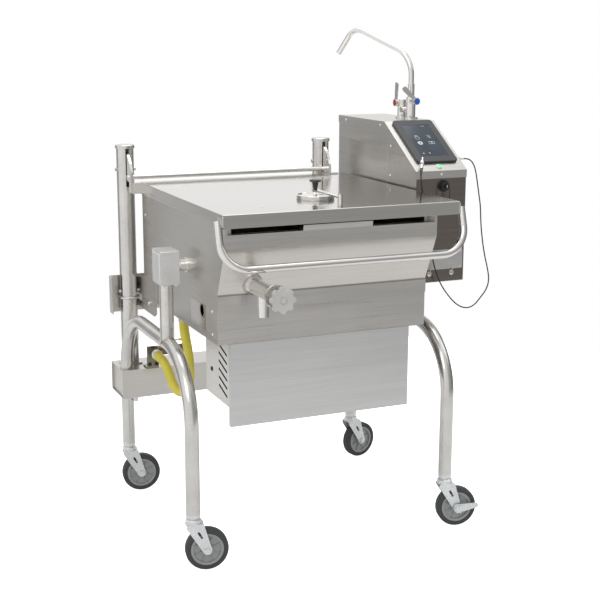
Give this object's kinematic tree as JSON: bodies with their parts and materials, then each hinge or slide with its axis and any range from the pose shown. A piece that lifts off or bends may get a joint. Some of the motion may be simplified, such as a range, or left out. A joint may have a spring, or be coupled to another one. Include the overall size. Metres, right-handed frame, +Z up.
{
  "type": "gas tilting braising pan",
  "caption": "Stainless gas tilting braising pan on a tubular arch stand with swivel casters, sprung lid, draw-off valve, swing faucet and a sloped touch console.",
  "frame": {"origin": "bottom centre of the whole machine, on the floor", "axes": "+Z up, front (lid handle and draw-off) towards -Y, console on +X"},
  "size_m": [1.0983, 1.0736, 1.5449],
  "materials": {
    "stand_steel": "satin stainless tube and sheet",
    "pan_steel": "fine brushed stainless sheet",
    "lid_steel": "bright satin stainless sheet",
    "bright_steel": "polished",
    "zinc": "zinc plated",
    "tread": "moulded rubber",
    "hub_plastic": "moulded",
    "grey_paint": "smooth enamel",
    "black_plastic": "fine texture",
    "cast_metal": "satin casting",
    "cast_black": "black",
    "screen_bezel": "smooth",
    "screen": "lit screen under glass",
    "aluminium_plate": "machined",
    "hose_yellow": "coated",
    "cord_black": "smooth",
    "brass_body": "turned"
  },
  "bodies": {
    "stand": {"left_side_frame": "stand_steel", "right_side_frame": "stand_steel", "rear_crossbeam": "stand_steel", "stand_uprights": "stand_steel", "trunnion_box": "grey_paint", "trunnion_cover": "grey_paint", "trunnion_bearings": "brass_body", "caster_stems": "zinc", "console_housing": "pan_steel", "console_cap": "lid_steel", "console_chassis": "stand_steel", "tilt_gearmotor": "grey_paint", "screen_frame": "screen_bezel", "screen_glass": "screen", "button_collar": "bright_steel", "plug_socket": "black_plastic", "probe_fittings": "bright_steel", "faucet_body": "bright_steel", "gas_bracket": "stand_steel", "gas_cock": "brass_body", "gas_hose": "hose_yellow", "probe_cord": "cord_black", "probe": "bright_steel"},
    "pan": {"pan_jacket": "pan_steel", "pan_liner": "pan_steel", "heating_plate": "aluminium_plate", "burners": "cast_black", "burner_box": "pan_steel", "burner_front_panel": "pan_steel", "trunnion_shafts": "bright_steel", "draw_off_body": "bright_steel", "lid_posts": "lid_steel", "lid_springs": "zinc", "rear_channel": "pan_steel", "pan_brackets": "pan_steel"},
    "lid": {"lid_shell": "lid_steel", "lid_handle": "bright_steel", "lid_arms": "bright_steel", "vent_collar": "lid_steel"},
    "vent_cover_body": {"vent_cover": "lid_steel"},
    "handwheel_body": {"draw_off_handwheel": "cast_metal"},
    "plunger_body": {"draw_off_plunger": "bright_steel"},
    "brake_body": {"caster_brake": "zinc"},
    "power_button_body": {"power_button": "bright_steel"},
    "spout_body": {"faucet_spout": "bright_steel"},
    "cold_lever_body": {"cold_lever": "bright_steel"},
    "hot_lever_body": {"hot_lever": "bright_steel"},
    "gas_lever_body": {"gas_cock_lever": "zinc"},
    "fork_front_left": {"caster_fork_front_left": "zinc"},
    "wheel_front_left": {"caster_hub_front_left": "hub_plastic", "caster_tyre_front_left": "tread"},
    "fork_front_right": {"caster_fork_front_right": "zinc"},
    "wheel_front_right": {"caster_hub_front_right": "hub_plastic", "caster_tyre_front_right": "tread"},
    "fork_rear_left": {"caster_fork_rear_left": "zinc"},
    "wheel_rear_left": {"caster_hub_rear_left": "hub_plastic", "caster_tyre_rear_left": "tread"},
    "fork_rear_right": {"caster_fork_rear_right": "zinc"},
    "wheel_rear_right": {"caster_hub_rear_right": "hub_plastic", "caster_tyre_rear_right": "tread"}
  },
  "joints": [
    {"name": "pan_tilt", "type": "hinge", "parent": "stand", "child": "pan", "pos_m": [0, -0.03515, 0.861], "axis": [1, 0, 0], "range_deg": [0, 85], "deforming": ["gas_hose"]},
    {"name": "lid_open", "type": "hinge", "parent": "pan", "child": "lid", "pos_m": [0, 0.48485, 1.09], "axis": [-1, 0, 0], "range_deg": [0, 56]},
    {"name": "vent_swing", "type": "hinge", "parent": "lid", "child": "vent_cover_body", "pos_m": [-0.06575, -0.33515, 1.085], "axis": [0, 0, -1], "range_deg": [0, 90]},
    {"name": "draw_off_turn", "type": "hinge", "parent": "pan", "child": "handwheel_body", "pos_m": [-0.32075, -0.51284, 0.846], "axis": [0, -1, 0], "range_deg": [0, 1080]},
    {"name": "draw_off_slide", "type": "slide", "parent": "pan", "child": "plunger_body", "axis": [0, -1, 0], "range_m": [0, 0.028]},
    {"name": "caster_swivel_front_left", "type": "hinge", "parent": "stand", "child": "fork_front_left", "pos_m": [-0.48525, -0.25115, 0.1435], "axis": [0, 0, 1], "continuous": true},
    {"name": "wheel_spin_front_left", "type": "hinge", "parent": "fork_front_left", "child": "wheel_front_left", "pos_m": [-0.44795, -0.2584, 0.0635], "axis": [-0.1908, -0.9816, 0], "continuous": true},
    {"name": "caster_swivel_front_right", "type": "hinge", "parent": "stand", "child": "fork_front_right", "pos_m": [0.34775, -0.25115, 0.1435], "axis": [0, 0, 1], "continuous": true},
    {"name": "wheel_spin_front_right", "type": "hinge", "parent": "fork_front_right", "child": "wheel_front_right", "pos_m": [0.38478, -0.2597, 0.0635], "axis": [-0.225, -0.9744, 0], "continuous": true},
    {"name": "caster_swivel_rear_left", "type": "hinge", "parent": "stand", "child": "fork_rear_left", "pos_m": [-0.48525, 0.43085, 0.1435], "axis": [0, 0, 1], "continuous": true},
    {"name": "wheel_spin_rear_left", "type": "hinge", "parent": "fork_rear_left", "child": "wheel_rear_left", "pos_m": [-0.44762, 0.42556, 0.0635], "axis": [-0.1392, -0.9903, 0], "continuous": true},
    {"name": "caster_swivel_rear_right", "type": "hinge", "parent": "stand", "child": "fork_rear_right", "pos_m": [0.34775, 0.43085, 0.1435], "axis": [0, 0, 1], "continuous": true},
    {"name": "wheel_spin_rear_right", "type": "hinge", "parent": "fork_rear_right", "child": "wheel_rear_right", "pos_m": [0.38478, 0.4394, 0.0635], "axis": [0.225, -0.9744, 0], "continuous": true},
    {"name": "brake_press", "type": "hinge", "parent": "fork_front_right", "child": "brake_body", "pos_m": [0.37803, -0.28893, 0.0635], "axis": [0.225, 0.9744, 0], "range_deg": [0, 20]},
    {"name": "power_press", "type": "slide", "parent": "stand", "child": "power_button_body", "axis": [0, 0.5334, -0.8459], "range_m": [0, 0.0025], "stiffness_N_per_m": 500, "springref_m": -0.0006},
    {"name": "spout_swing", "type": "hinge", "parent": "stand", "child": "spout_body", "pos_m": [0.45925, 0.22985, 1.34], "axis": [0, 0, 1], "range_deg": [-30, 120]},
    {"name": "cold_turn", "type": "hinge", "parent": "stand", "child": "cold_lever_body", "pos_m": [0.45425, 0.18985, 1.307], "axis": [0, -1, 0], "range_deg": [0, 90]},
    {"name": "hot_turn", "type": "hinge", "parent": "stand", "child": "hot_lever_body", "pos_m": [0.43025, 0.26785, 1.299], "axis": [-1, 0, 0], "range_deg": [0, 90]},
    {"name": "gas_turn", "type": "hinge", "parent": "stand", "child": "gas_lever_body", "pos_m": [-0.34075, 0.41385, 0.51], "axis": [0, 0, 1], "range_deg": [0, 90]}
  ],
  "couplings": [
    {"joint": "draw_off_slide", "follows": "draw_off_turn", "m_per_rad": 0.0014854}
  ]
}
